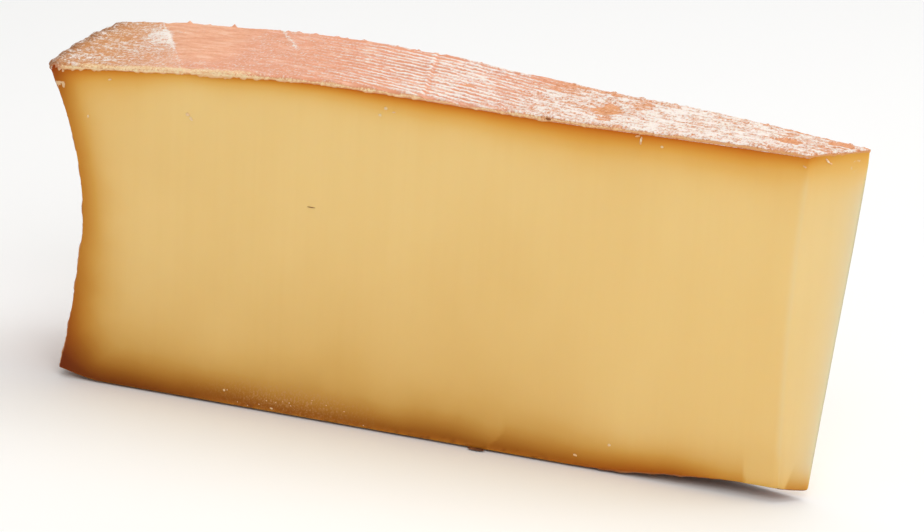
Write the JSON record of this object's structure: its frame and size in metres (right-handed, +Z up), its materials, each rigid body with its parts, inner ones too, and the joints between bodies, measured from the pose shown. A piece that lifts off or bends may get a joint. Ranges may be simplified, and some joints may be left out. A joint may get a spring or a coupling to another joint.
{
  "type": "cheese portion, truncated wedge cut from a mountain cheese wheel",
  "caption": "Truncated wedge of pressed mountain cheese with smooth cut faces, cloth-marked orange rind above and below and a hollow heel.",
  "frame": {"origin": "middle of the box's underside, on the surface the base rests on", "axes": "+X along the front cut from the heel's rind to the tip, +Y from the front cut towards the back cut, +Z up through the wheel's thickness"},
  "size_m": [0.1904, 0.045, 0.0795],
  "materials": {
    "cheese": null
  },
  "bodies": {
    "root": {"cheese_wedge": "cheese"}
  },
  "joints": []
}
